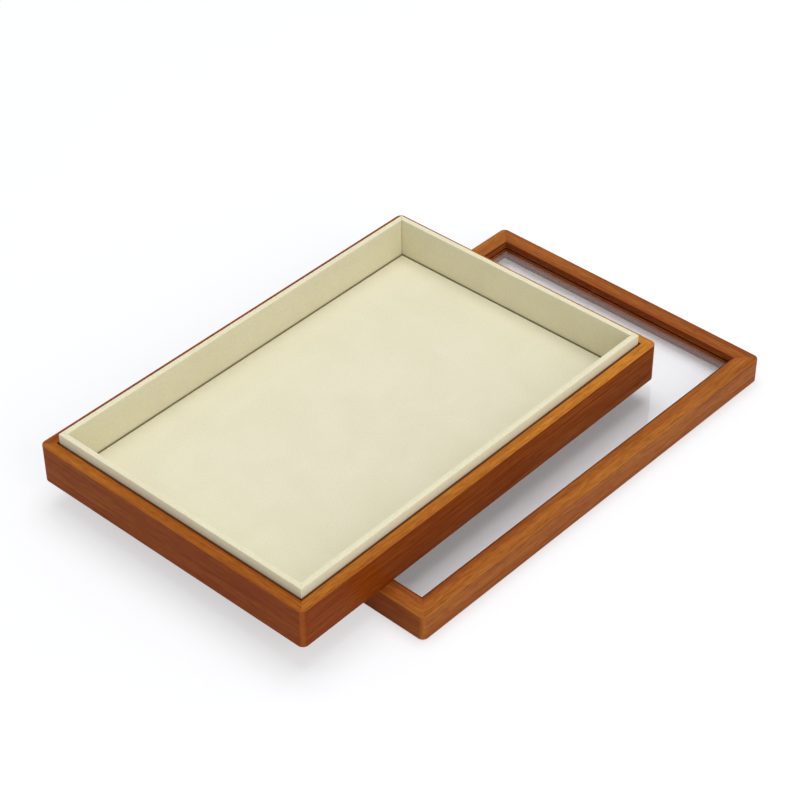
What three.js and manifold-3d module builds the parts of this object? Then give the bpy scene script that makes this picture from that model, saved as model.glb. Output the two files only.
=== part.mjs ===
// Jewellery display tray: a mitred hardwood case lined with boards wrapped in microfibre, and
// a lift-off lid, a mitred hardwood frame that holds a clear pane. The tray stands on its own
// lid, which has been taken off and laid on the table, a little to the right and front.
// Millimetres, +Z up, +X along the long side. The origin is on the table, in the middle of the
// rectangle that tray and lid cover together.
import * as THREE from "three";
import { mergeVertices } from "three/addons/utils/BufferGeometryUtils.js";
import Module from "manifold-3d";

const manifold = await Module();
manifold.setup();

// Overall outline, shared by case and lid
const trayLength = 350;
const trayWidth = 235;
const cornerRadius = 4.5;

// Case
const caseHeight = 30;
const caseWall = 8.4;
const caseArris = 0.6;
const panelThickness = 4;
const panelRebateWidth = 4;

// Liner, four wrapped boards whose tops stand above the case as a neck for the lid
const linerClearance = 0.9;
const neckHeight = 7.6;
const linerBoardThickness = 3;
const fabricThickness = 0.5;
const linerTopRadius = 0.7;

// Floor, one wrapped board between the liner boards
const floorBoardThickness = 2.5;
const floorMargin = 1;
const floorEdgeRadius = 0.5;
const floorCornerRadius = 1;

// Lid
const lidHeight = 20;
const lidRailWidth = 14.2;
const lidArris = 1.1;
const neckClearance = 0.4;
const neckHeadroom = 2.4;
const paneThickness = 2;
const lipAbovePane = 4;
const paneGrooveDepth = 4;

// Loose tongues that key the mitres
const tongueThickness = 2;
const tongueWidth = 6;
const tongueInset = 4.6;
const tongueEndCover = 4;

// Fits
const glueLine = 0.1;
const edgeClearance = 0.4;
const tongueClearance = 0.15;
const restGap = 0.3;
const overrun = 1;

// How the lid lies under the tray
const lidShiftX = 69;
const lidShiftY = -39;
const lidTurn = THREE.MathUtils.degToRad(-0.8);

// Facets
const cornerSteps = 16;
const arrisSteps = 5;

// Sizes that follow
const panelRebateInset = caseWall - panelRebateWidth;
const panelInset = panelRebateInset + edgeClearance;
const linerFoot = panelThickness + glueLine;
const linerInset = caseWall + linerClearance;
const linerLength = trayLength - 2 * linerInset;
const linerWidth = trayWidth - 2 * linerInset;
const linerHeight = caseHeight + neckHeight - linerFoot;
const skin = fabricThickness + glueLine;
const linerThickness = linerBoardThickness + 2 * skin;
const floorLength = linerLength - 2 * (linerThickness + floorMargin);
const floorWidth = linerWidth - 2 * (linerThickness + floorMargin);
const floorHeight = floorBoardThickness + skin;
const neckRebateDepth = neckHeight + neckHeadroom;
const neckRebateInset = linerInset - neckClearance;
const paneGrooveInset = lidRailWidth - paneGrooveDepth;
const paneGrooveTop = lidHeight - lipAbovePane;
const paneGrooveBottom = paneGrooveTop - paneThickness - 2 * glueLine;
const paneInset = paneGrooveInset + edgeClearance;

const wood = { color: 0x9c5527, roughness: 0.45, metalness: 0 };
const finishes = {
  rail: new THREE.MeshStandardMaterial(wood),
  panel: new THREE.MeshStandardMaterial({ ...wood, roughness: 0.6 }),
  tongue: new THREE.MeshStandardMaterial({ color: 0xc9a36b, roughness: 0.8, metalness: 0 }),
  board: new THREE.MeshStandardMaterial({ color: 0xa78b63, roughness: 0.9, metalness: 0 }),
  microfibre: new THREE.MeshStandardMaterial({ color: 0xdfd8b8, roughness: 1, metalness: 0 }),
  glass: new THREE.MeshStandardMaterial({
    color: 0xeef4f2, roughness: 0.05, metalness: 0, transparent: true, opacity: 0.3,
  }),
};

// The closed surface of a three.js geometry as a solid that can be cut and joined.
function solidOf(geometry) {
  const bare = geometry.index ? geometry.toNonIndexed() : geometry.clone();
  bare.deleteAttribute("normal");
  bare.deleteAttribute("uv");
  const merged = mergeVertices(bare);
  return new manifold.Manifold(new manifold.Mesh({
    numProp: 3,
    vertProperties: merged.attributes.position.array,
    triVerts: new Uint32Array(merged.index.array),
  }));
}

function geometryOf(solid) {
  const mesh = solid.getMesh();
  const geometry = new THREE.BufferGeometry();
  geometry.setAttribute("position", new THREE.BufferAttribute(mesh.vertProperties, mesh.numProp));
  geometry.setIndex(new THREE.BufferAttribute(mesh.triVerts, 1));
  const flat = geometry.toNonIndexed();
  flat.computeVertexNormals();
  return flat;
}

function named(name, geometry, finish) {
  const mesh = new THREE.Mesh(geometry, finishes[finish]);
  mesh.name = name;
  return mesh;
}

// A plain block, centred on X and on the line y = middle, between two heights.
function block(length, width, bottom, top, middle = 0) {
  const box = new THREE.BoxGeometry(length, width, top - bottom);
  box.translate(0, middle, (top + bottom) / 2);
  return solidOf(box);
}

function roundedRectangle(length, width, radius) {
  const x = length / 2 - radius;
  const y = width / 2 - radius;
  const outline = new THREE.Shape();
  outline.absarc(x, y, radius, 0, Math.PI / 2);
  outline.absarc(-x, y, radius, Math.PI / 2, Math.PI);
  outline.absarc(-x, -y, radius, Math.PI, 1.5 * Math.PI);
  outline.absarc(x, -y, radius, 1.5 * Math.PI, 2 * Math.PI);
  outline.closePath();
  return outline;
}

function rectangle(length, width) {
  const [x, y] = [length / 2, width / 2];
  return new THREE.Path([
    new THREE.Vector2(-x, -y),
    new THREE.Vector2(-x, y),
    new THREE.Vector2(x, y),
    new THREE.Vector2(x, -y),
    new THREE.Vector2(-x, -y),
  ]);
}

// A whole frame before it is parted at its mitres: rounded corners, eased arrises, open middle.
// Its front face lies on the line y = 0.
function frameBlank(along, across, frame) {
  const outline = roundedRectangle(along, across, cornerRadius);
  outline.holes.push(rectangle(along - 2 * frame.railWidth, across - 2 * frame.railWidth));
  const blank = new THREE.ExtrudeGeometry(outline, {
    depth: frame.height - 2 * frame.arris,
    bevelThickness: frame.arris,
    bevelSize: frame.arris,
    bevelOffset: -frame.arris,
    bevelSegments: arrisSteps,
    curveSegments: cornerSteps,
  });
  blank.translate(0, across / 2, frame.arris);
  return solidOf(blank);
}

// The room between two mitre planes: what one rail or board may fill, with half a glue line off
// each mitre. The outer face lies on y = 0 and depth runs inwards, along +Y.
function mitreWedge(along, depth, height) {
  const end = along / 2 - glueLine / Math.SQRT2;
  const [near, far] = [-overrun, depth + overrun];
  const plan = new THREE.Shape([
    new THREE.Vector2(-(end - near), near),
    new THREE.Vector2(end - near, near),
    new THREE.Vector2(end - far, far),
    new THREE.Vector2(-(end - far), far),
  ]);
  const wedge = new THREE.ExtrudeGeometry(plan, { depth: height + 2 * overrun, bevelEnabled: false });
  wedge.translate(0, 0, -overrun);
  return solidOf(wedge);
}

// A tongue stands upright across a mitre. Its slot is the same block with clearance all round.
function tongueBlock(frame, clearance = 0) {
  return new THREE.BoxGeometry(
    tongueThickness + 2 * clearance,
    tongueWidth + 2 * clearance,
    frame.tongueTop - frame.tongueFoot + 2 * clearance,
  );
}

// Side is -1 at a rail's left end and 1 at its right end.
function tongueSlot(along, side, frame) {
  const slot = tongueBlock(frame, tongueClearance);
  slot.rotateZ(side * (-Math.PI / 4));
  slot.translate(
    side * (along / 2 - tongueInset),
    tongueInset,
    (frame.tongueTop + frame.tongueFoot) / 2,
  );
  return solidOf(slot);
}

// One rail of a frame: outer face on y = 0, foot on z = 0, long way along X. A cut is a groove or
// rebate that runs round the whole frame, from its inset to the middle.
function railSolid(along, across, frame) {
  let solid = frameBlank(along, across, frame);
  for (const cut of frame.cuts) {
    const [length, width] = [along - 2 * cut.inset, across - 2 * cut.inset];
    solid = solid.subtract(block(length, width, cut.bottom, cut.top, across / 2));
  }
  for (const side of [-1, 1]) solid = solid.subtract(tongueSlot(along, side, frame));
  return solid.intersect(mitreWedge(along, frame.railWidth, frame.height));
}

const sides = [
  { name: "front", turn: 0, x: 0, y: -1, long: true },
  { name: "right", turn: Math.PI / 2, x: 1, y: 0, long: false },
  { name: "back", turn: Math.PI, x: 0, y: 1, long: true },
  { name: "left", turn: -Math.PI / 2, x: -1, y: 0, long: false },
];

const corners = [
  { name: "front_left", x: -1, y: -1 },
  { name: "front_right", x: 1, y: -1 },
  { name: "back_right", x: 1, y: 1 },
  { name: "back_left", x: -1, y: 1 },
];

// Four pieces, each made against y = 0, stood round a rectangle.
function around(length, width, makeSolid, label, finish) {
  const longPiece = geometryOf(makeSolid(length, width));
  const shortPiece = geometryOf(makeSolid(width, length));
  return sides.map((side) => {
    const mesh = named(label(side.name), side.long ? longPiece : shortPiece, finish);
    mesh.rotation.z = side.turn;
    mesh.position.set((side.x * length) / 2, (side.y * width) / 2, 0);
    return mesh;
  });
}

function cornerTongues(prefix, frame) {
  return corners.map((corner) => {
    const tongue = named(`${prefix}_tongue_${corner.name}`, tongueBlock(frame), "tongue");
    tongue.rotation.z = (corner.x * corner.y * Math.PI) / 4;
    tongue.position.set(
      corner.x * (trayLength / 2 - tongueInset),
      corner.y * (trayWidth / 2 - tongueInset),
      (frame.tongueTop + frame.tongueFoot) / 2,
    );
    return tongue;
  });
}

function makeFrame(prefix, frame) {
  const rail = (along, across) => railSolid(along, across, frame);
  const label = (side) => `${prefix}_${side}_rail`;
  return [...around(trayLength, trayWidth, rail, label, "rail"), ...cornerTongues(prefix, frame)];
}

// The case: four rails, rebated at the foot for a base panel that lies flush with them.
const caseFrame = {
  railWidth: caseWall,
  height: caseHeight,
  arris: caseArris,
  cuts: [{ inset: panelRebateInset, bottom: -overrun, top: panelThickness + glueLine }],
  tongueFoot: panelThickness + tongueEndCover,
  tongueTop: caseHeight - tongueEndCover,
};

function makeCase() {
  const sheet = new THREE.BoxGeometry(
    trayLength - 2 * panelInset,
    trayWidth - 2 * panelInset,
    panelThickness,
  );
  const panel = named("case_base_panel", sheet, "panel");
  panel.position.z = panelThickness / 2;
  const group = new THREE.Group();
  group.add(...makeFrame("case", caseFrame), panel);
  return group;
}

// Section of a wrapped liner board, with a rounded top: x is thickness and y is height.
function linerSection() {
  const section = new THREE.Shape();
  section.moveTo(0, 0);
  section.lineTo(linerThickness, 0);
  const [x, y] = [linerThickness - linerTopRadius, linerHeight - linerTopRadius];
  section.absarc(x, y, linerTopRadius, 0, Math.PI / 2);
  section.absarc(linerTopRadius, y, linerTopRadius, Math.PI / 2, Math.PI);
  section.closePath();
  return section;
}

// Lays a section that was extruded along Z down along X, with its height up.
function laidAlongX(geometry) {
  return geometry.applyMatrix4(new THREE.Matrix4().makeBasis(
    new THREE.Vector3(0, 1, 0),
    new THREE.Vector3(0, 0, 1),
    new THREE.Vector3(1, 0, 0),
  ));
}

// The fabric runs up the outside of a board, over its top and down the inside.
function linerCover(along) {
  const blank = laidAlongX(new THREE.ExtrudeGeometry(linerSection(), {
    depth: along,
    bevelEnabled: false,
    curveSegments: arrisSteps,
  }).translate(0, 0, -along / 2));
  const middle = linerThickness / 2;
  const hollow = linerThickness - 2 * fabricThickness;
  return solidOf(blank)
    .subtract(block(along, hollow, -overrun, linerHeight - fabricThickness, middle))
    .intersect(mitreWedge(along, linerThickness, linerHeight));
}

function linerBoard(along) {
  return block(along, linerBoardThickness, 0, linerHeight - skin, linerThickness / 2)
    .intersect(mitreWedge(along, linerThickness, linerHeight));
}

function makeLiner() {
  const place = (make, label, finish) => around(linerLength, linerWidth, make, label, finish);
  const group = new THREE.Group();
  group.add(...place(linerBoard, (side) => `liner_${side}_board`, "board"));
  group.add(...place(linerCover, (side) => `liner_${side}_cover`, "microfibre"));
  group.position.z = linerFoot;
  return group;
}

// The fabric lies on the floor board and turns down round its edge.
function floorCover() {
  const outline = roundedRectangle(floorLength, floorWidth, floorCornerRadius);
  const blank = new THREE.ExtrudeGeometry(outline, {
    depth: floorHeight + overrun - 2 * floorEdgeRadius,
    bevelThickness: floorEdgeRadius,
    bevelSize: floorEdgeRadius,
    bevelOffset: -floorEdgeRadius,
    bevelSegments: arrisSteps,
    curveSegments: arrisSteps,
  });
  blank.translate(0, 0, floorEdgeRadius - overrun);
  const [length, width] = [floorLength - 2 * fabricThickness, floorWidth - 2 * fabricThickness];
  return solidOf(blank)
    .subtract(block(floorLength + overrun, floorWidth + overrun, -2 * overrun, 0))
    .subtract(block(length, width, -overrun, floorHeight - fabricThickness));
}

function makeFloor() {
  const core = new THREE.BoxGeometry(
    floorLength - 2 * skin,
    floorWidth - 2 * skin,
    floorBoardThickness,
  );
  const board = named("floor_board", core, "board");
  board.position.z = floorBoardThickness / 2;
  const group = new THREE.Group();
  group.add(board, named("floor_cover", geometryOf(floorCover()), "microfibre"));
  group.position.z = linerFoot;
  return group;
}

// The lid: four rails with a groove for the pane and, below it, a rebate that clears the neck.
const lidFrame = {
  railWidth: lidRailWidth,
  height: lidHeight,
  arris: lidArris,
  cuts: [
    { inset: paneGrooveInset, bottom: paneGrooveBottom, top: paneGrooveTop },
    { inset: neckRebateInset, bottom: -overrun, top: neckRebateDepth },
  ],
  tongueFoot: tongueEndCover,
  tongueTop: lidHeight - tongueEndCover,
};

function makeLid() {
  const sheet = new THREE.BoxGeometry(
    trayLength - 2 * paneInset,
    trayWidth - 2 * paneInset,
    paneThickness,
  );
  const pane = named("lid_pane", sheet, "glass");
  pane.position.z = (paneGrooveBottom + paneGrooveTop) / 2;
  const group = new THREE.Group();
  group.add(...makeFrame("lid", lidFrame), pane);
  return group;
}

const tray = new THREE.Group();
tray.add(makeCase(), makeLiner(), makeFloor());
tray.position.z = lidHeight + restGap;

const lid = makeLid();
lid.position.set(lidShiftX, lidShiftY, 0);
lid.rotation.z = lidTurn;

const set = new THREE.Group();
set.add(tray, lid);
const reach = new THREE.Box3().setFromObject(set, true);
set.position.set(-(reach.min.x + reach.max.x) / 2, -(reach.min.y + reach.max.y) / 2, 0);

const displayTray = new THREE.Group();
displayTray.add(set);

export default displayTray;
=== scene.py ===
"""Looks of a jewelry display tray that lies on its own lid.

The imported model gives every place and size. This script dresses it: mitred rails of stained
hardwood, raw tongues and boards, a clear pane, microfibre over the liner and the floor, and a pale
studio round them.
"""

import logging
import math
from collections.abc import Iterable, Mapping
from dataclasses import dataclass, replace
from enum import Enum
from typing import Any

import bmesh
import bpy
from bmesh.types import BMEdge, BMesh, BMVert
from bpy.types import Material, Node, NodeSocket, NodeTree, Object, Scene
from mathutils import Matrix, Vector, noise


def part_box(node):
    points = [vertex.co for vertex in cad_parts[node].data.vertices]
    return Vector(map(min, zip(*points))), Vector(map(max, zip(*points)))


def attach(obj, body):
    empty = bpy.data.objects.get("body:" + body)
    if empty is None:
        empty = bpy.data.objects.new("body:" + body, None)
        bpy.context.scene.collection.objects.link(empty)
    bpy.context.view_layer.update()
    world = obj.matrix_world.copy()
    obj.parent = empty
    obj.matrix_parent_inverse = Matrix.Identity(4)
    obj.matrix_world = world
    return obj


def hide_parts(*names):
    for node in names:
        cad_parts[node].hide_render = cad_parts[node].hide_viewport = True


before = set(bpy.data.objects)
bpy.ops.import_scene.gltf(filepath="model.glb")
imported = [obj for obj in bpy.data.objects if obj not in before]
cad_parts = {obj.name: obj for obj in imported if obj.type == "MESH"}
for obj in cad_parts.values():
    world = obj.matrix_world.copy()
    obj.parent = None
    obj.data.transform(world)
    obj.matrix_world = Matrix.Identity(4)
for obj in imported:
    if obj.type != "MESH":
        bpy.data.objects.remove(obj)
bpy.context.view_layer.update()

Point = tuple[float, float, float]

MM = 0.001
PHOTO_SENSOR = 36.0
WELD_DISTANCE = 0.005 * MM
FLAT_ANGLE = math.radians(0.6)
SHARP_ANGLE = math.radians(50)
UP = Vector((0, 0, 1))
WHITE = "#FFFFFF"

# A mitred end looks halfway between along the rail and inwards: the range of that cosine.
MITRE_COSINES = (0.6, 0.8)
# How far a flat face outweighs the rounded ones beside it in their shared normals, from 0 to 100.
FLAT_WEIGHT = 90
# Blender's wave texture draws one ring for every tau / 20 of its coordinate.
WAVE_FACTOR = 20
# How far one tongue lay from the next in its plank, along it and across it, in metres.
TONGUE_STEP = (0.11, 0.02)
# How far the lid lies turned under the tray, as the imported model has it.
LID_YAW = math.radians(-0.8)

# Sockets of a colour Mix node, which share their names with its other sockets.
MIX_FACTOR, MIX_FIRST, MIX_SECOND, MIX_RESULT = 0, 6, 7, 2

log = logging.getLogger("jewelry_tray")


class Side(Enum):
    """A side of the tray or its lid. The value counts its quarter turns from the front."""

    FRONT = 0
    RIGHT = 1
    BACK = 2
    LEFT = 3

    @property
    def word(self) -> str:
        """The side's name as the nodes spell it."""
        return self.name.lower()

    @property
    def turn(self) -> float:
        """Angle from the front side to this one, in radians."""
        return self.value * math.pi / 2

    @property
    def inward(self) -> Vector:
        """Level direction from the outer face towards the middle of the tray."""
        return Vector((-math.sin(self.turn), math.cos(self.turn), 0))


class Corner(Enum):
    """A mitred corner, named after the two sides that meet there."""

    FRONT_LEFT = "front_left"
    FRONT_RIGHT = "front_right"
    BACK_RIGHT = "back_right"
    BACK_LEFT = "back_left"


def linear(hex_colour: str) -> tuple[float, float, float, float]:
    """Turn an sRGB colour into the linear one that shaders take.

    Args:
        hex_colour: A colour such as "#A9561F".

    Returns:
        Red, green, blue and an alpha of 1.
    """
    shares = [int(hex_colour[start:start + 2], 16) / 255 for start in (1, 3, 5)]
    red, green, blue = [s / 12.92 if s <= 0.04045 else ((s + 0.055) / 1.055) ** 2.4 for s in shares]
    return red, green, blue, 1.0


def feed(node: Node, inputs: Mapping[str | int, Any]) -> Node:
    """Give a node's inputs their values or links.

    Args:
        node: The node to feed.
        inputs: Socket name or index, and its value or the output that feeds it.

    Returns:
        The same node.
    """
    for key, value in inputs.items():
        if isinstance(value, NodeSocket):
            node.id_data.links.new(value, node.inputs[key])
        else:
            node.inputs[key].default_value = value
    return node


def add(tree: NodeTree, kind: str, inputs: Mapping[str | int, Any] | None = None,
        **settings: Any) -> Node:
    """Add a node with its settings and links.

    Args:
        tree: The node tree that gets it.
        kind: Blender's name for the type of node.
        inputs: Socket name or index, and its value or the output that feeds it.
        **settings: Properties of the node itself.

    Returns:
        The new node.
    """
    node = tree.nodes.new(kind)
    for name, value in settings.items():
        setattr(node, name, value)
    return feed(node, inputs or {})


def new_material(name: str) -> tuple[Material, NodeTree]:
    """Make a material that has its shader and nothing else yet.

    Args:
        name: Name of the material.

    Returns:
        The material and its node tree.
    """
    material = bpy.data.materials.new(name)
    material.use_nodes = True
    return material, material.node_tree


def cells(length: float, width: float) -> Point:
    """Scale that makes a noise cell so long along X and so wide across it, both in metres."""
    return 1 / length, 1 / width, 1 / width


@dataclass(frozen=True)
class Cut:
    """How one piece was sawn from the plank.

    Attributes:
        turn: Turn about Z, in radians, that brings the piece's length onto the plank's X.
        lie: Where the piece lay in the plank, in metres, so that no two pieces look alike.
        tone: Share of the golden wood in it, from 0 to 1, where the plank passes the row's origin.
            It may lie below 0 where that wood only starts further along.
        drift: How much more golden it grows over a metre along the plank.
        upright: How much painted shade darkens its upright faces, from 0 to 1.
        seam: Place across the plank, in metres, of the inner edge, along which shade is painted.
    """

    turn: float = 0.0
    lie: Point = (0.0, 0.0, 0.0)
    tone: float = 0.5
    drift: float = 0.0
    upright: float = 0.0
    seam: float = 0.0


@dataclass(frozen=True)
class Timber:
    """Wood whose grain runs lengthwise, with streaks, growth rings and pores.

    Attributes:
        plain: Colour of most of the wood.
        golden: Colour of its paler bands.
        dark: Colour of its streaks, rings and pores.
        stained: Colour of the shade painted on upright faces.
        edge: Colour of its rounded edges, where sanding left less stain.
        edge_share: How much of that colour they show.
        inner_shade_share: How dark the shade painted along the inner edge is.
        inner_shade_width: How wide that painted shade is, in metres.
        figure_share: How far the broad bands sway between plain and golden.
        streak_share: How dark the streaks are.
        ring_share: How dark the growth rings are.
        side_shade_floor: How strong the painted shade of an upright face is between its streaks, as
            a
        share of that in them.
        pore_share: How dark the pores are.
        least_roughness: Roughness of the smoothest wood.
        most_roughness: Roughness of the streaks.
        gloss: Specular level of its finish.
        relief: Depth of the open grain, in metres.
        figure_length, figure_width: Size of a band of the broad figure, in metres.
        streak_length, streak_width: Size of a streak.
        pore_length, pore_width: Size of a row of pores, which shows as one fine line.
        ring_pitch: Distance between growth rings.
        ring_stretch: How much longer than wide the waves in a ring are.
    """

    plain: str = "#924915"
    golden: str = "#CA822F"
    dark: str = "#5A2406"
    stained: str = "#803304"
    edge: str = "#AE6634"
    edge_share: float = 0.0
    inner_shade_share: float = 0.0
    inner_shade_width: float = 0.8 * MM
    figure_share: float = 0.2
    streak_share: float = 0.25
    ring_share: float = 0.09
    side_shade_floor: float = 0.78
    pore_share: float = 0.5
    least_roughness: float = 0.5
    most_roughness: float = 0.7
    gloss: float = 0.04
    relief: float = 0.04 * MM

    # Real grain is finer than a pixel of the photograph, so these are drawn a little coarser.
    figure_length: float = 170 * MM
    figure_width: float = 9 * MM
    streak_length: float = 60 * MM
    streak_width: float = 1.5 * MM
    pore_length: float = 9.0 * MM
    pore_width: float = 0.6 * MM
    ring_pitch: float = 2.4 * MM
    ring_stretch: float = 14.0

    @staticmethod
    def pattern(tree: NodeTree, plank: NodeSocket, length: float, width: float,
                detail: float) -> NodeSocket:
        """Draw noise that is drawn out along the grain.

        Args:
            tree: The material's node tree.
            plank: Coordinates with the grain along X.
            length: Length of a cell along the grain, in metres.
            width: Width of a cell across the grain, in metres.
            detail: Number of finer layers.

        Returns:
            The noise, mostly between 0.3 and 0.7.
        """
        stretched = add(tree, "ShaderNodeVectorMath", {0: plank, 1: cells(length, width)},
                        operation="MULTIPLY")
        drawn = add(tree, "ShaderNodeTexNoise", {
            "Vector": stretched.outputs[0], "Scale": 1.0, "Detail": detail, "Roughness": 0.6,
            "Distortion": 0.35,
        })
        return drawn.outputs[0]

    def rings(self, tree: NodeTree, plank: NodeSocket) -> NodeSocket:
        """Draw growth rings about the plank's X, wavy along the grain.

        Args:
            tree: The material's node tree.
            plank: Coordinates with the grain along X.

        Returns:
            Late wood as 1 and early wood as 0.
        """
        squeezed = add(tree, "ShaderNodeVectorMath", {
            0: plank, 1: (1 / self.ring_stretch, 1.0, 1.0),
        }, operation="MULTIPLY")
        wave = add(tree, "ShaderNodeTexWave", {
            "Vector": squeezed.outputs[0], "Scale": math.tau / WAVE_FACTOR / self.ring_pitch,
            "Distortion": 5.0, "Detail": 2.0, "Detail Scale": 0.35, "Detail Roughness": 0.5,
        }, wave_type="RINGS", rings_direction="X")
        return wave.outputs["Fac"]

    @staticmethod
    def edges_and_uprights(tree: NodeTree) -> tuple[NodeSocket, NodeSocket]:
        """Find rounded edges by normals that lie between the axes, and upright faces by level ones.

        Args:
            tree: The material's node tree.

        Returns:
            A value that is 1 in the middle of a rounded edge, and one that is 1 on upright faces.
        """
        normal = add(tree, "ShaderNodeTexCoord").outputs["Normal"]
        sizes = add(tree, "ShaderNodeVectorMath", {0: normal}, operation="ABSOLUTE")
        parts = add(tree, "ShaderNodeSeparateXYZ", {0: sizes.outputs[0]}).outputs
        level = add(tree, "ShaderNodeMath", {0: parts[0], 1: parts[1]}, operation="MAXIMUM")
        largest = add(tree, "ShaderNodeMath", {0: level.outputs[0], 1: parts[2]},
                      operation="MAXIMUM")
        rounded = add(tree, "ShaderNodeMapRange", {
            "Value": largest.outputs[0], "From Min": 0.995, "From Max": 0.82,
        })
        upright = add(tree, "ShaderNodeMapRange", {
            "Value": parts[2], "From Min": 0.5, "From Max": 0.1,
        })
        return rounded.outputs[0], upright.outputs[0]

    def material(self, name: str, cut: Cut) -> Material:
        """Make the wood of one piece.

        Args:
            name: Name of the material.
            cut: How the piece was sawn from the plank.

        Returns:
            The new material.
        """
        material, tree = new_material(name)
        place = add(tree, "ShaderNodeTexCoord").outputs["Object"]
        plank = add(tree, "ShaderNodeMapping", {
            "Vector": place, "Location": cut.lie, "Rotation": (0.0, 0.0, cut.turn),
        }).outputs[0]
        figure = self.pattern(tree, plank, self.figure_length, self.figure_width, 3.0)
        streaks = self.pattern(tree, plank, self.streak_length, self.streak_width, 4.0)
        pores = self.pattern(tree, plank, self.pore_length, self.pore_width, 2.0)
        along, across, _ = add(tree, "ShaderNodeSeparateXYZ", {0: plank}).outputs
        middle = cut.tone - cut.drift * cut.lie[0]
        bands = add(tree, "ShaderNodeMapRange", {
            "Value": figure, "From Min": 0.36, "From Max": 0.64,
            "To Min": middle - self.figure_share, "To Max": middle + self.figure_share,
        })
        share = add(tree, "ShaderNodeMath", {0: along, 1: cut.drift, 2: bands.outputs[0]},
                    operation="MULTIPLY_ADD", use_clamp=True)
        colour = add(tree, "ShaderNodeMix", {
            MIX_FACTOR: share.outputs[0], MIX_FIRST: linear(self.plain),
            MIX_SECOND: linear(self.golden),
        }, data_type="RGBA").outputs[MIX_RESULT]
        rounded, upright = self.edges_and_uprights(tree)
        # Upright faces get painted shade, evenly but for faint streaks along them.
        lines = add(tree, "ShaderNodeMapRange", {
            "Value": streaks, "From Min": 0.35, "From Max": 0.6, "To Min": self.side_shade_floor,
        })
        side_shade = add(tree, "ShaderNodeMath", {0: lines.outputs[0], 1: upright}, operation="MULTIPLY")
        # Shade painted along the inner edge of the level faces.
        near_inner_edge = add(tree, "ShaderNodeMapRange", {
            "Value": across, "From Min": cut.seam - self.inner_shade_width,
            "From Max": cut.seam - self.inner_shade_width * 2 / 3,
        })
        level = add(tree, "ShaderNodeMath", {0: 1.0, 1: upright}, operation="SUBTRACT")
        seam = add(tree, "ShaderNodeMath", {0: near_inner_edge.outputs[0], 1: level.outputs[0]},
                   operation="MULTIPLY")
        # What each layer follows, where it starts and is full, how strong it is, and its colour.
        layers = (
            (side_shade.outputs[0], 0.0, 1.0, cut.upright, self.stained),
            (streaks, 0.48, 0.68, self.streak_share, self.dark),
            (self.rings(tree, plank), 0.45, 1.0, self.ring_share, self.dark),
            (pores, 0.44, 0.66, self.pore_share, self.dark),
            (rounded, 0.0, 1.0, self.edge_share, self.edge),
            (seam.outputs[0], 0.0, 1.0, self.inner_shade_share, self.dark),
        )
        for source, least, most, share, tint in layers:
            strength = add(tree, "ShaderNodeMapRange", {
                "Value": source, "From Min": least, "From Max": most, "To Max": share,
            })
            colour = add(tree, "ShaderNodeMix", {
                MIX_FACTOR: strength.outputs[0], MIX_FIRST: colour, MIX_SECOND: linear(tint),
            }, data_type="RGBA").outputs[MIX_RESULT]
        roughness = add(tree, "ShaderNodeMapRange", {
            "Value": streaks, "From Min": 0.35, "From Max": 0.65, "To Min": self.least_roughness,
            "To Max": self.most_roughness,
        })
        grooves = add(tree, "ShaderNodeMath", {0: streaks, 1: pores}, operation="ADD")
        relief = add(tree, "ShaderNodeBump", {
            "Height": grooves.outputs[0], "Strength": 0.5, "Distance": self.relief,
        }, invert=True)
        feed(tree.nodes["Principled BSDF"], {
            "Base Color": colour, "Roughness": roughness.outputs[0], "Normal": relief.outputs[0],
            "Specular IOR Level": self.gloss, "IOR": 1.5,
        })
        return material


@dataclass(frozen=True)
class StainedHardwood(Timber):
    """Planed hardwood with a reddish-brown stain under satin lacquer.

    The stain gathers in streaks and in pores, and stays thin on sanded edges, so these are a little
    paler. Shade is painted along the inner edge and on the upright faces. The lacquer gives the
    flat faces a soft, even gloss.
    """

    edge_share: float = 0.35
    inner_shade_share: float = 0.95
    least_roughness: float = 0.36
    most_roughness: float = 0.48


@dataclass(frozen=True)
class RawBeech(Timber):
    """Sawn beech without finish, as tongues are: pale, even and dull, with short brown flecks."""

    plain: str = "#C9A36B"
    golden: str = "#D8B985"
    dark: str = "#9A7244"
    least_roughness: float = 0.7
    most_roughness: float = 0.85
    pore_length: float = 2.5 * MM


@dataclass(frozen=True)
class StainedPly(Timber):
    """Thin plywood, stained like the rails but not lacquered: flat, dry, with a broad figure."""

    plain: str = "#8A4C24"
    golden: str = "#A2622E"
    dark: str = "#5E3015"
    least_roughness: float = 0.6
    most_roughness: float = 0.75
    figure_width: float = 24 * MM
    ring_pitch: float = 11 * MM


@dataclass(frozen=True)
class RawBoard:
    """Pressed fibreboard without finish: an even tan with fine short fibres and a dusty surface.

    Attributes:
        pale: Colour of the fibres.
        deep: Colour between them.
        fibre: Size of a tuft of fibres, in metres.
        roughness: Roughness of the surface.
    """

    pale: str = "#C2A678"
    deep: str = "#987B50"
    fibre: float = 0.9 * MM
    roughness: float = 0.9

    def material(self, name: str) -> Material:
        """Make the board's material.

        Args:
            name: Name of the material.

        Returns:
            The new material.
        """
        material, tree = new_material(name)
        place = add(tree, "ShaderNodeTexCoord").outputs["Object"]
        tufts = add(tree, "ShaderNodeTexNoise", {
            "Vector": place, "Scale": 1 / self.fibre, "Detail": 3.0, "Roughness": 0.7,
        }).outputs[0]
        shade = add(tree, "ShaderNodeMapRange", {
            "Value": tufts, "From Min": 0.35, "From Max": 0.65,
        })
        colour = add(tree, "ShaderNodeMix", {
            MIX_FACTOR: shade.outputs[0], MIX_FIRST: linear(self.deep),
            MIX_SECOND: linear(self.pale),
        }, data_type="RGBA")
        relief = add(tree, "ShaderNodeBump", {
            "Height": tufts, "Strength": 0.4, "Distance": 0.05 * MM,
        })
        feed(tree.nodes["Principled BSDF"], {
            "Base Color": colour.outputs[MIX_RESULT], "Roughness": self.roughness,
            "Normal": relief.outputs[0],
        })
        return material


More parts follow.
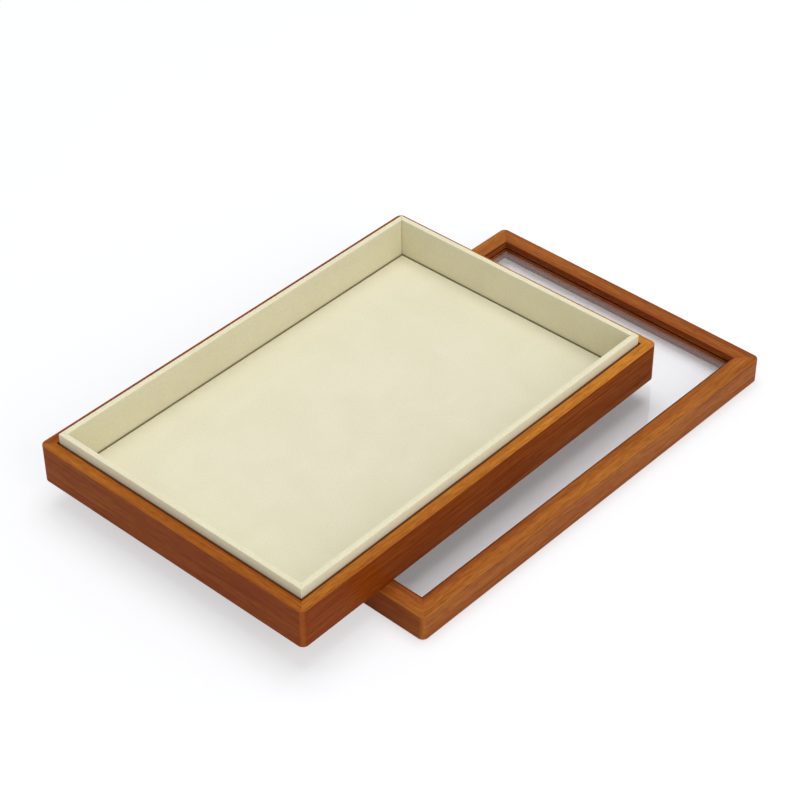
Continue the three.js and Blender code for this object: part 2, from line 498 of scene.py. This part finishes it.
@dataclass(frozen=True)
class PaintedGapShade:
    """Painted shade where cloth dives into a gap: the cloth there is drawn dark.

    Attributes:
        level: Height above the table below which shade is painted on the cloth, in metres.
        faces_out: Whether that is so on faces that look away from the tray's middle, or on those
            that look towards it.
        tint: Colour of the painted shade in the gap.
        blur: Height over which the painted shade fades in, in metres.
    """

    level: float
    faces_out: bool
    tint: str = "#A89C70"
    blur: float = 0.3 * MM

    def strength(self, tree: NodeTree, middle: Point) -> NodeSocket:
        """Find the cloth that lies in the gap.

        Args:
            tree: The material's node tree.
            middle: The tray's middle on the table.

        Returns:
            A value that is 1 in the gap and 0 elsewhere.
        """
        spot = add(tree, "ShaderNodeTexCoord").outputs
        height = add(tree, "ShaderNodeSeparateXYZ", {0: spot["Object"]}).outputs[2]
        below = add(tree, "ShaderNodeMapRange", {
            "Value": height, "From Min": self.level + self.blur, "From Max": self.level,
        })
        outwards = add(tree, "ShaderNodeVectorMath", {0: spot["Object"], 1: middle},
                       operation="SUBTRACT")
        facing = add(tree, "ShaderNodeVectorMath", {0: outwards.outputs[0], 1: spot["Normal"]},
                     operation="DOT_PRODUCT")
        side = add(tree, "ShaderNodeMath", {0: facing.outputs["Value"], 1: 0.0},
                   operation="GREATER_THAN" if self.faces_out else "LESS_THAN")
        return add(tree, "ShaderNodeMath", {0: below.outputs[0], 1: side.outputs[0]},
                   operation="MULTIPLY").outputs[0]


@dataclass(frozen=True)
class Microfibre:
    """Short-napped microfibre, brushed and glued flat over board.

    The brushed pile scatters light evenly, so it has no gloss but a faint pale sheen at a low
    angle. It shows as fine speckle, in soft patches where the nap lies another way.

    Attributes:
        pale: Colour where the nap stands up to the light.
        deep: Colour where it lies away from it.
        pile: Size of a tuft, in metres. The real one is finer than a pixel, so it is drawn coarser.
        patch: Size of a patch of nap, in metres.
        sheen: Strength of the sheen.
        gap_shades: Painted shade where it dives into gaps.
        middle: The tray's middle on the table, from which the painted gap shades take their sides.
    """

    pale: str = "#E9E4CC"
    deep: str = "#D6CFB1"
    pile: float = 1.1 * MM
    patch: float = 35 * MM
    sheen: float = 0.2
    gap_shades: tuple[PaintedGapShade, ...] = ()
    middle: Point = (0.0, 0.0, 0.0)

    def material(self, name: str) -> Material:
        """Make the cloth's material.

        Args:
            name: Name of the material.

        Returns:
            The new material.
        """
        material, tree = new_material(name)
        place = add(tree, "ShaderNodeTexCoord").outputs["Object"]
        tufts = add(tree, "ShaderNodeTexNoise", {
            "Vector": place, "Scale": 1 / self.pile, "Detail": 3.0, "Roughness": 0.65,
        }).outputs[0]
        patches = add(tree, "ShaderNodeTexNoise", {
            "Vector": place, "Scale": 1 / self.patch, "Detail": 2.0, "Roughness": 0.5,
            "Distortion": 0.8,
        }).outputs[0]
        speckle = add(tree, "ShaderNodeMapRange", {
            "Value": tufts, "From Min": 0.3, "From Max": 0.7, "To Max": 0.6,
        }).outputs[0]
        nap = add(tree, "ShaderNodeMapRange", {
            "Value": patches, "From Min": 0.35, "From Max": 0.65, "To Min": 0.1, "To Max": 0.25,
        }).outputs[0]
        shade = add(tree, "ShaderNodeMath", {0: speckle, 1: nap}, operation="ADD", use_clamp=True)
        colour = add(tree, "ShaderNodeMix", {
            MIX_FACTOR: shade.outputs[0], MIX_FIRST: linear(self.deep),
            MIX_SECOND: linear(self.pale),
        }, data_type="RGBA").outputs[MIX_RESULT]
        # Shade painted where the cloth dives into gaps.
        for gap_shade in self.gap_shades:
            colour = add(tree, "ShaderNodeMix", {
                MIX_FACTOR: gap_shade.strength(tree, self.middle), MIX_FIRST: colour,
                MIX_SECOND: linear(gap_shade.tint),
            }, data_type="RGBA").outputs[MIX_RESULT]
        relief = add(tree, "ShaderNodeBump", {
            "Height": tufts, "Strength": 0.45, "Distance": 0.12 * MM,
        })
        feed(tree.nodes["Principled BSDF"], {
            "Base Color": colour, "Roughness": 0.95, "Specular IOR Level": 0.15,
            "Sheen Weight": self.sheen, "Sheen Roughness": 0.5, "Sheen Tint": linear("#FFFBE8"),
            "Normal": relief.outputs[0],
        })
        return material


@dataclass(frozen=True)
class ClearPane:
    """Cast clear sheet with polished faces: the table shows through it, with faint reflections.

    Attributes:
        tint: What it leaves of the colours seen through the whole sheet.
        light_tint: What each of its faces leaves of a lamp's light.
        ior: Index of refraction.
        haze: Roughness where fine dust lies.
        dust: Size of a patch of dust, in metres.
    """

    tint: str = "#FDFDFE"
    light_tint: str = WHITE
    ior: float = 1.49
    haze: float = 0.02
    dust: float = 30 * MM

    def material(self, name: str) -> Material:
        """Make the pane's material. Lamps shine straight through it, as through a thin sheet.

        Args:
            name: Name of the material.

        Returns:
            The new material.
        """
        material, tree = new_material(name)
        place = add(tree, "ShaderNodeTexCoord").outputs["Object"]
        patches = add(tree, "ShaderNodeTexNoise", {
            "Vector": place, "Scale": 1 / self.dust, "Detail": 4.0,
        })
        haze = add(tree, "ShaderNodeMapRange", {
            "Value": patches.outputs[0], "From Min": 0.4, "From Max": 0.7, "To Max": self.haze,
        })
        sheet = feed(tree.nodes["Principled BSDF"], {
            "Base Color": linear(self.tint), "Roughness": haze.outputs[0], "IOR": self.ior,
            "Transmission Weight": 1.0,
        })
        open_way = add(tree, "ShaderNodeBsdfTransparent", {"Color": linear(self.light_tint)})
        ray = add(tree, "ShaderNodeLightPath").outputs["Is Shadow Ray"]
        surface = add(tree, "ShaderNodeMixShader", {
            0: ray, 1: sheet.outputs[0], 2: open_way.outputs[0],
        })
        feed(tree.nodes["Material Output"], {"Surface": surface.outputs[0]})
        return material


def dress(node: str, material: Material) -> None:
    """Give a CAD node that stays as it is its material.

    Args:
        node: Name of the node.
        material: What it is made of.
    """
    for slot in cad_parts[node].material_slots:
        slot.material = material
    log.info("%s: packed shape in %s", node, material.name)


def place_piece(shape: BMesh, name: str, material: Material, body: str,
                stands_for: Iterable[str]) -> Object:
    """Turn a finished shape into a piece that rides on its body and stands for its CAD nodes.

    Args:
        shape: The shape, in metres and in place. It is freed.
        name: Name of the piece.
        material: What it is made of.
        body: The body that carries it.
        stands_for: CAD nodes that it replaces.

    Returns:
        The new object, at the origin.
    """
    mesh = bpy.data.meshes.new(name)
    shape.to_mesh(mesh)
    shape.free()
    if "custom_normal" in mesh.attributes:
        mesh.attributes.remove(mesh.attributes["custom_normal"])
    mesh.materials.clear()
    mesh.materials.append(material)
    piece = bpy.data.objects.new(name, mesh)
    bpy.context.scene.collection.objects.link(piece)
    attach(piece, body)
    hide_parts(*stands_for)
    log.info("%s: %d faces in %s, on body %s", name, len(mesh.polygons), material.name, body)
    return piece


def merged_copy(node: str) -> BMesh:
    """Copy a CAD node with its loose triangles merged into whole faces.

    Args:
        node: Name of the node.

    Returns:
        The copy, in place.
    """
    shape = bmesh.new()
    shape.from_mesh(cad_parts[node].data)
    bmesh.ops.remove_doubles(shape, verts=shape.verts, dist=WELD_DISTANCE)
    bmesh.ops.dissolve_limit(shape, angle_limit=FLAT_ANGLE, verts=shape.verts, edges=shape.edges)
    return shape


def shade_round(shape: BMesh) -> None:
    """Shade rounded edges smoothly and keep square ones sharp.

    Args:
        shape: The shape to shade.
    """
    for face in shape.faces:
        face.smooth = True
    for edge in shape.edges:
        edge.smooth = edge.is_manifold and edge.calc_face_angle() < SHARP_ANGLE


def turn_outwards(shape: BMesh) -> None:
    """Turn a shell's faces outwards, if its highest one looks down.

    Args:
        shape: The shell.
    """
    top = max(shape.faces, key=lambda face: face.calc_center_median().z)
    if top.normal.z < 0:
        bmesh.ops.reverse_faces(shape, faces=shape.faces)


def give_thickness(piece: Object, cloth: float, even: bool) -> None:
    """Give a shell of cloth its thickness, inwards.

    Args:
        piece: The shell.
        cloth: Thickness of the cloth, in metres.
        even: Whether it keeps that thickness round its bends.
    """
    solid = piece.modifiers.new("cloth_thickness", "SOLIDIFY")
    solid.thickness = cloth
    solid.offset = -1
    solid.use_even_offset = even


@dataclass(frozen=True)
class MitredFrame:
    """Four grooved rails, keyed at their mitres by loose tongues: the case or the lid.

    Attributes:
        prefix: First word of its nodes.
        body: The body that carries it.
        yaw: Its turn about Z, in radians.
        cuts: How each rail was sawn, without its turn.
        timber: What the rails are made of.
        squeeze: How far each rail is pressed into the glue of its mitres, along the rail.
    """

    prefix: str
    body: str
    yaw: float
    cuts: Mapping[Side, Cut]
    timber: StainedHardwood = StainedHardwood()
    squeeze: float = 0.064 * MM

    def grain(self, shape: BMesh, side: Side) -> Cut:
        """Turn a rail's cut so that its grain runs lengthwise, and find where its inner edge is.

        Args:
            shape: The rail.
            side: Its side.

        Returns:
            The turned cut.
        """
        cut = self.cuts[side]
        inward = Matrix.Rotation(self.yaw, 3, "Z") @ side.inward
        edge = max(vert.co.dot(inward) for vert in shape.verts)
        return replace(cut, turn=-side.turn - self.yaw, seam=edge + cut.lie[1])

    def close_mitres(self, shape: BMesh, side: Side) -> None:
        """Press a rail's mitred ends into the glue line, so that a mitre shows by its grain alone.

        Args:
            shape: The rail.
            side: Its side.
        """
        inward = Matrix.Rotation(self.yaw, 3, "Z") @ side.inward
        along = inward.cross(UP)
        low, high = (pick(vert.co.dot(along) for vert in shape.verts) for pick in (min, max))
        least, most = MITRE_COSINES
        slanted = [face for face in shape.faces if least < face.normal.dot(inward) < most]
        for vert in {vert for face in slanted for vert in face.verts}:
            way = 1 if vert.co.dot(along) > (low + high) / 2 else -1
            vert.co += along * way * self.squeeze

    def build_rails(self) -> None:
        """Build the four rails with softly shaded edges."""
        for side in Side:
            node = f"{self.prefix}_{side.word}_rail"
            shape = merged_copy(node)
            self.close_mitres(shape, side)
            shade_round(shape)
            material = self.timber.material(f"stained_hardwood_{node}", self.grain(shape, side))
            rail = place_piece(shape, f"{node}_stained", material, self.body, [node])
            even = rail.modifiers.new("even_flats", "WEIGHTED_NORMAL")
            even.weight = FLAT_WEIGHT
            even.keep_sharp = True

    def dress_tongues(self, beech: RawBeech) -> None:
        """Give the tongues inside the mitres their wood.

        Args:
            beech: What they are made of.
        """
        for number, corner in enumerate(Corner):
            node = f"{self.prefix}_tongue_{corner.value}"
            lie = (TONGUE_STEP[0] * number, TONGUE_STEP[1] * number, 0.0)
            cut = Cut(turn=math.pi / 4 - self.yaw, lie=lie)
            dress(node, beech.material(f"raw_beech_{node}", cut))


@dataclass(frozen=True)
class Case(MitredFrame):
    """The tray's own frame, with the ply panel that closes it below."""

    def build(self) -> None:
        """Build the rails and dress the tongues and the panel."""
        self.build_rails()
        self.dress_tongues(RawBeech())
        dress("case_base_panel", StainedPly().material("stained_ply", Cut(lie=(0.4, 0.13, 0.05))))


@dataclass(frozen=True)
class Lid(MitredFrame):
    """The lift-off lid, a frame with a clear pane in its groove."""

    def build(self) -> None:
        """Build the rails and dress the tongues and the pane."""
        self.build_rails()
        self.dress_tongues(RawBeech())
        dress("lid_pane", ClearPane().material("clear_pane"))


@dataclass(frozen=True)
class WrappedLiner:
    """Boards round the inside of the case, each in its own strip of microfibre drawn over its top.

    Attributes:
        body: The body that carries it.
        cloth: Thickness of the microfibre.
        shoulder: Radius of the bend over the board's edges.
        shoulder_steps: Faces round each bend.
        wall_steps: Faces up each wall.
        station_step: Length of a face along the strip.
        tuck_stations: Distances from a mitre where the strip gets its closer faces.
        tuck_reach: How far from the mitre the cloth starts to turn in.
        tuck_depth: How far it has turned in at the mitre.
        slack: How far the glued cloth wavers from flat.
        slack_length: Length of a waver.
        mitre_gap: Gap between two strips at a mitre, for each of them.
    """

    body: str = "tray"
    cloth: float = 0.5 * MM
    shoulder: float = 0.55 * MM
    shoulder_steps: int = 5
    wall_steps: int = 8
    station_step: float = 3.2 * MM
    tuck_stations: tuple[float, ...] = (0.0, 0.25 * MM, 0.55 * MM, 0.95 * MM, 1.5 * MM, 2.4 * MM)
    tuck_reach: float = 0.7 * MM
    tuck_depth: float = 0.06 * MM
    slack: float = 0.07 * MM
    slack_length: float = 13 * MM
    mitre_gap: float = 0.02 * MM

    def stations(self, length: float) -> list[float]:
        """Places along a strip where its section is repeated, closer together at the mitres.

        Args:
            length: Length of the strip.

        Returns:
            Distances from the strip's middle, in order.
        """
        half = length / 2
        last = half - self.tuck_stations[-1]
        count = max(2, round(2 * last / self.station_step))
        left = [-half + distance for distance in self.tuck_stations]
        middle = [-last + 2 * last * step / count for step in range(1, count)]
        return left + middle + [-place for place in reversed(left)]

    def strip(self, length: float, thickness: float, height: float) -> BMesh:
        """Model a strip of cloth over a board, with its outer face at y = 0 and its foot at z = 0.

        Args:
            length: Length along X at the outer face.
            thickness: Distance across the board, cloth included.
            height: Height of the covered board.

        Returns:
            The open shell, faces outwards.
        """
        shape = bmesh.new()
        places = self.stations(length)
        corners = ((0, 0), (0, height), (thickness, height), (thickness, 0))
        section = [shape.verts.new((places[0], y, z)) for y, z in corners]
        edges = [shape.edges.new(pair) for pair in zip(section, section[1:])]
        for start, end in zip(places, places[1:]):
            made = bmesh.ops.extrude_edge_only(shape, edges=edges)["geom"]
            moved = [item for item in made if isinstance(item, BMVert)]
            edges = [item for item in made if isinstance(item, BMEdge)
                     and all(vert in moved for vert in item.verts)]
            bmesh.ops.translate(shape, verts=moved, vec=(end - start, 0, 0))
        ridges = [edge for edge in shape.edges if self.lies_on_top(edge, height)]
        bmesh.ops.bevel(shape, geom=ridges, offset=self.shoulder, offset_type="OFFSET",
                        affect="EDGES", segments=self.shoulder_steps, profile=0.5, material=-1)
        posts = [edge for edge in shape.edges
                 if abs(edge.verts[0].co.z - edge.verts[1].co.z) > height / 2]
        bmesh.ops.subdivide_edges(shape, edges=posts, cuts=self.wall_steps - 1, use_grid_fill=True)
        turn_outwards(shape)
        return shape

    @staticmethod
    def lies_on_top(edge: BMEdge, height: float) -> bool:
        """Say whether an edge runs lengthwise along the top of the section."""
        first, second = (vert.co for vert in edge.verts)
        on_top = min(first.z, second.z) > height - WELD_DISTANCE
        return on_top and abs(first.y - second.y) < WELD_DISTANCE

    def settle(self, shape: BMesh, length: float, thickness: float, height: float,
               seed: float) -> None:
        """Mitre the strip, tuck its ends in and let the cloth waver a little.

        Args:
            shape: The strip.
            length: Its length at the outer face.
            thickness: Distance across the board, cloth included.
            height: Height of the covered board.
            seed: Where it lies in the noise, so that no two strips are alike.
        """
        half = length / 2
        core = Vector((0, thickness / 2, height - thickness / 2))
        shape.normal_update()
        for vert in shape.verts:
            x, y, z = vert.co
            to_mitre = half - abs(x)
            inward = Vector((0, core.y - y, min(0.0, core.z - z))).normalized()
            tuck = max(0.0, 1 - to_mitre / self.tuck_reach) ** 2
            point = Vector((x + seed, y, z)) / self.slack_length
            waver = noise.noise(point) * self.slack * (1 - tuck)
            # A mitre takes off as much as a point lies in, and less and less towards the middle.
            shortened = y * (half - to_mitre) / half
            vert.co.x = math.copysign(half - self.mitre_gap - to_mitre - shortened, x)
            vert.co += inward * (tuck * self.tuck_depth + abs(waver))

    def build(self, cloth: Microfibre, board: RawBoard) -> None:
        """Cover the four boards and dress them.

        Args:
            cloth: What the strips are cut from.
            board: What the boards are made of.
        """
        microfibre = cloth.material("microfibre_liner")
        fibreboard = board.material("raw_fibreboard_liner")
        for side in Side:
            cover, core = f"liner_{side.word}_cover", f"liner_{side.word}_board"
            low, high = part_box(cover)
            extent = high - low
            length, thickness = max(extent.x, extent.y), min(extent.x, extent.y)
            shape = self.strip(length, thickness, extent.z)
            self.settle(shape, length, thickness, extent.z, seed=side.value)
            middle = (low + high) / 2 - side.inward * thickness / 2
            foot = Matrix.Translation((middle.x, middle.y, low.z))
            turned = foot @ Matrix.Rotation(side.turn, 4, "Z")
            bmesh.ops.transform(shape, matrix=turned, verts=shape.verts)
            shade_round(shape)
            piece = place_piece(shape, f"{cover}_wrapped", microfibre, self.body,
                                [cover])
            give_thickness(piece, self.cloth, even=True)
            dress(core, fibreboard)


@dataclass(frozen=True)
class WrappedFloor:
    """The floor board in its cloth, with soft edges that leave a dark line against the liner: real
    shade in the gap, and shade painted on the cloth's sides.

    Attributes:
        body: The body that carries it.
        cloth: Thickness of the microfibre.
        edge: Radius of its upper edge and its corners.
        edge_steps: Faces round the edge.
        face_size: Size of a face of the cloth.
        slack: How far the glued cloth wavers from flat.
        slack_length: Length of a waver.
    """

    body: str = "tray"
    cloth: float = 0.5 * MM
    edge: float = 0.5 * MM
    edge_steps: int = 4
    face_size: float = 5 * MM
    slack: float = 0.12 * MM
    slack_length: float = 26 * MM

    def build(self, cloth: Microfibre, board: RawBoard) -> None:
        """Cover the floor board and dress it.

        Args:
            cloth: What the cover is cut from.
            board: What the board is made of.
        """
        low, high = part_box("floor_cover")
        extent, middle = high - low, (low + high) / 2
        columns, rows = round(extent.x / self.face_size), round(extent.y / self.face_size)
        shape = bmesh.new()
        bmesh.ops.create_grid(shape, x_segments=columns, y_segments=rows, size=0.5)
        bmesh.ops.scale(shape, verts=shape.verts, vec=(extent.x, extent.y, 1))
        rim = [edge for edge in shape.edges if edge.is_boundary]
        made = bmesh.ops.extrude_edge_only(shape, edges=rim)["geom"]
        foot = [item for item in made if isinstance(item, BMVert)]
        bmesh.ops.translate(shape, verts=foot, vec=(0, 0, -extent.z))
        posts = [edge for edge in shape.edges if self.is_corner_post(edge, extent)]
        bmesh.ops.bevel(shape, geom=rim + posts, offset=self.edge, offset_type="OFFSET",
                        affect="EDGES", segments=self.edge_steps, profile=0.5, material=-1)
        turn_outwards(shape)
        for vert in shape.verts:
            if vert.co.z > -WELD_DISTANCE:
                vert.co.z -= abs(noise.noise(vert.co / self.slack_length)) * self.slack
        bmesh.ops.translate(shape, verts=shape.verts, vec=(middle.x, middle.y, high.z))
        shade_round(shape)
        material = cloth.material("microfibre_floor")
        piece = place_piece(shape, "floor_cover_wrapped", material, self.body,
                            ["floor_cover"])
        give_thickness(piece, self.cloth, even=False)
        dress("floor_board", board.material("raw_fibreboard_floor"))

    @staticmethod
    def is_corner_post(edge: BMEdge, extent: Vector) -> bool:
        """Say whether an edge is one of the four upright ones at the corners."""
        first, second = (vert.co for vert in edge.verts)
        at_end = abs(first.x) > extent.x / 2 - WELD_DISTANCE
        at_side = abs(first.y) > extent.y / 2 - WELD_DISTANCE
        return at_end and at_side and abs(first.z - second.z) > extent.z / 2


@dataclass(frozen=True)
class Softbox:
    """A square lamp with a wide soft face, aimed at the tray.

    Attributes:
        name: Name of the lamp.
        place: Where it hangs, in metres.
        size: Length of its side, in metres.
        power: Power in watts.
    """

    name: str
    place: Point
    size: float
    power: float

    def hang(self) -> None:
        """Add the lamp to the scene."""
        lamp = bpy.data.lights.new(self.name, "AREA")
        lamp.shape = "SQUARE"
        lamp.size = self.size
        lamp.energy = self.power
        holder = bpy.data.objects.new(self.name, lamp)
        holder.location = self.place
        holder.rotation_euler = (-Vector(self.place)).to_track_quat("-Z", "Y").to_euler()
        # The pane lets lamplight straight through, so bounced light that crosses it can't count it
        # again.
        holder.visible_transmission = False
        bpy.context.scene.collection.objects.link(holder)


@dataclass(frozen=True)
class Studio:
    """Pale table, soft light and the camera at the photograph's angle.

    Attributes:
        camera_place: Where the camera stands, in metres.
        azimuth: Direction that it looks in, from +X towards +Y, in degrees.
        elevation: How far it looks down, in degrees.
        roll: Its turn about its own axis, in degrees.
        lens: Focal length on a sensor of 36 mm.
        lamps: The softboxes.
        fill: Strength of the room's light.
        fill_colour: Colour of the room's light.
        table_size: Length of the table's side, in metres.
        table_colour: Colour of the table.
        bright_share: Share of plain white in what is seen of the table, which softens its shadows.
        pane_share: The same through the pane, where the shade of the lid and the tray stays deep.
        shadow_reach: Distance from the middle within which shadows fall, in metres.
        white_reach: Distance beyond which the table is plain white, in metres.
    """

    camera_place: Point = (-0.8716, -0.7730, 0.9824)
    azimuth: float = 42.0675
    elevation: float = 39.173
    roll: float = -0.359
    lens: float = 100.47
    lamps: tuple[Softbox, ...] = (
        Softbox("overhead", (0.4, 0.25, 3.1), 2.2, 53.0),
        Softbox("front", (-0.6, -2.4, 1.5), 1.8, 22.0),
    )
    fill: float = 0.51
    fill_colour: str = "#F8FBFF"
    table_size: float = 9.0
    table_colour: str = "#FBFCFF"
    bright_share: float = 0.53
    pane_share: float = 0.15
    shadow_reach: float = 0.55
    white_reach: float = 1.6

    def build(self) -> None:
        """Set up the camera, the lamps, the room's light and the table."""
        scene = bpy.context.scene
        scene.view_settings.view_transform = "Standard"
        self.place_camera(scene)
        for lamp in self.lamps:
            lamp.hang()
        self.light_room(scene)
        self.lay_table(scene)

    def place_camera(self, scene: Scene) -> None:
        """Put the camera where the photograph was taken from.

        Args:
            scene: The scene that gets it.
        """
        angles = (self.azimuth, self.elevation, self.roll)
        around, down, roll = (math.radians(angle) for angle in angles)
        ahead = math.cos(down)
        forward = Vector((math.cos(around) * ahead, math.sin(around) * ahead, -math.sin(down)))
        level = forward.cross(UP).normalized()
        upright = level.cross(forward)
        right = level * math.cos(roll) + upright * math.sin(roll)
        up = upright * math.cos(roll) - level * math.sin(roll)
        data = bpy.data.cameras.new("photo_camera")
        data.lens = self.lens
        data.sensor_width = PHOTO_SENSOR
        camera = bpy.data.objects.new("photo_camera", data)
        turn = Matrix((right, up, -forward)).transposed().to_4x4()
        camera.matrix_world = Matrix.Translation(self.camera_place) @ turn
        scene.collection.objects.link(camera)
        scene.camera = camera

    def light_room(self, scene: Scene) -> None:
        """Fill the room with weak light from all round, and let it look white.

        Light that has bounced off something and then crosses the pane finds the room dark, because
        the pane already lets the room's light straight through to what lies under it.

        Args:
            scene: The scene that gets the world.
        """
        world = bpy.data.worlds.new("room")
        world.use_nodes = True
        tree = world.node_tree
        path = add(tree, "ShaderNodeLightPath").outputs
        # The depth counts bounces, so it lies above a half once there is one.
        bounced = add(tree, "ShaderNodeMath", {0: path["Diffuse Depth"], 1: 0.5},
                      operation="GREATER_THAN")
        counted = add(tree, "ShaderNodeMath", {
            0: bounced.outputs[0], 1: path["Is Transmission Ray"],
        }, operation="MULTIPLY")
        either = add(tree, "ShaderNodeMath", {0: path["Is Camera Ray"], 1: path["Is Glossy Ray"]},
                     operation="MAXIMUM")
        looking = add(tree, "ShaderNodeMath", {
            0: either.outputs[0], 1: path["Is Transmission Ray"],
        }, operation="MAXIMUM")
        lit = feed(tree.nodes["Background"], {
            "Color": linear(self.fill_colour), "Strength": self.fill,
        })
        seen = add(tree, "ShaderNodeBackground", {"Color": linear(WHITE), "Strength": 1.0})
        unlit = add(tree, "ShaderNodeBackground", {"Color": linear(WHITE), "Strength": 0.0})
        first = add(tree, "ShaderNodeMixShader", {
            0: looking.outputs[0], 1: lit.outputs[0], 2: seen.outputs[0],
        })
        surface = add(tree, "ShaderNodeMixShader", {
            0: counted.outputs[0], 1: first.outputs[0], 2: unlit.outputs[0],
        })
        feed(tree.nodes["World Output"], {"Surface": surface.outputs[0]})
        scene.world = world

    def lay_table(self, scene: Scene) -> None:
        """Lay the pale table, which looks white where no shadow falls on it.

        Args:
            scene: The scene that gets it.
        """
        shape = bmesh.new()
        bmesh.ops.create_grid(shape, x_segments=1, y_segments=1, size=self.table_size / 2)
        mesh = bpy.data.meshes.new("table")
        shape.to_mesh(mesh)
        shape.free()
        material, tree = new_material("matt_white_table")
        matt = feed(tree.nodes["Principled BSDF"], {
            "Base Color": linear(self.table_colour), "Roughness": 0.9, "Specular IOR Level": 0.0,
        })
        white = add(tree, "ShaderNodeEmission", {"Color": linear(WHITE), "Strength": 1.0})
        path = add(tree, "ShaderNodeLightPath").outputs
        openly = add(tree, "ShaderNodeMath", {0: path["Is Camera Ray"], 1: path["Is Glossy Ray"]},
                     operation="MAXIMUM")
        place = add(tree, "ShaderNodeTexCoord").outputs["Object"]
        distance = add(tree, "ShaderNodeVectorMath", {0: place}, operation="LENGTH")
        bright = add(tree, "ShaderNodeMapRange", {
            "Value": distance.outputs["Value"], "From Min": self.shadow_reach,
            "From Max": self.white_reach, "To Min": self.bright_share,
        })
        open_share = add(tree, "ShaderNodeMath", {0: openly.outputs[0], 1: bright.outputs[0]},
                         operation="MULTIPLY")
        share = add(tree, "ShaderNodeMix", {
            MIX_FACTOR: path["Is Transmission Ray"], 2: open_share.outputs[0], 3: self.pane_share,
        }, data_type="FLOAT")
        surface = add(tree, "ShaderNodeMixShader", {
            0: share.outputs[0], 1: matt.outputs[0], 2: white.outputs[0],
        })
        feed(tree.nodes["Material Output"], {"Surface": surface.outputs[0]})
        mesh.materials.append(material)
        table = bpy.data.objects.new("table", mesh)
        scene.collection.objects.link(table)


def lining() -> tuple[Microfibre, Microfibre]:
    """Choose the cloth of the liner and of the floor, with shade painted where they meet each other
    and the case.

    Returns:
        The liner's cloth and the floor's.
    """
    low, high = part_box("floor_cover")
    middle = ((low.x + high.x) / 2, (low.y + high.y) / 2, 0.0)
    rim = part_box("case_front_rail")[1].z
    # Shade is painted on the liner just below the case's rim outside and just above the floor
    # inside, brown outside for the shade and the wood beside it. On the floor it is painted only
    # below its rounded edge, out of reach of the waver in its top.
    shade_at_case = PaintedGapShade(rim - 0.1 * MM, faces_out=True, tint="#A3693F")
    shade_above_floor = PaintedGapShade(high.z + 0.2 * MM, faces_out=False)
    shade_below_liner = PaintedGapShade(high.z - 0.6 * MM, faces_out=True)
    liner_cloth = Microfibre(pale="#EBE5C8", deep="#D8D0AE", gap_shades=(shade_at_case, shade_above_floor),
                             middle=middle)
    return liner_cloth, Microfibre(gap_shades=(shade_below_liner,), middle=middle)


def main() -> None:
    """Build the studio, the case, the lid, the liner and the floor."""
    logging.basicConfig(level=logging.INFO, format="%(message)s")
    Studio().build()
    case_cuts = {
        Side.FRONT: Cut(lie=(0.10, 0.031, 0.012), tone=0.8, drift=2.2, upright=0.97),
        Side.RIGHT: Cut(lie=(0.71, 0.044, -0.017), tone=0.6, drift=-3.0, upright=0.85),
        Side.BACK: Cut(lie=(1.30, 0.052, 0.021), tone=0.05, upright=0.8),
        Side.LEFT: Cut(lie=(1.92, 0.027, 0.033), tone=0.2, drift=-0.8, upright=0.74),
    }
    lid_cuts = {
        Side.FRONT: Cut(lie=(2.50, 0.038, 0.041), tone=0.36, upright=0.25),
        Side.RIGHT: Cut(lie=(3.10, 0.055, 0.009), tone=0.1, upright=0.4),
        Side.BACK: Cut(lie=(3.70, 0.021, 0.027), tone=0.6, upright=0.4),
        # The left rail turns from golden to plain towards the tray: painted shadow of the tray.
        Side.LEFT: Cut(lie=(4.30, 0.047, -0.011), tone=-1.55, drift=16.0, upright=0.55),
    }
    lid_wood = StainedHardwood(plain="#954D1F", golden="#C07931", edge="#B0702F", edge_share=0.4,
                               figure_share=0.32, inner_shade_width=1.8 * MM)
    Case("case", "tray", 0.0, case_cuts).build()
    Lid("lid", "lid", LID_YAW, lid_cuts, lid_wood).build()
    liner_cloth, floor_cloth = lining()
    WrappedLiner().build(liner_cloth, RawBoard())
    WrappedFloor().build(floor_cloth, RawBoard())


if __name__ == "__main__":
    main()
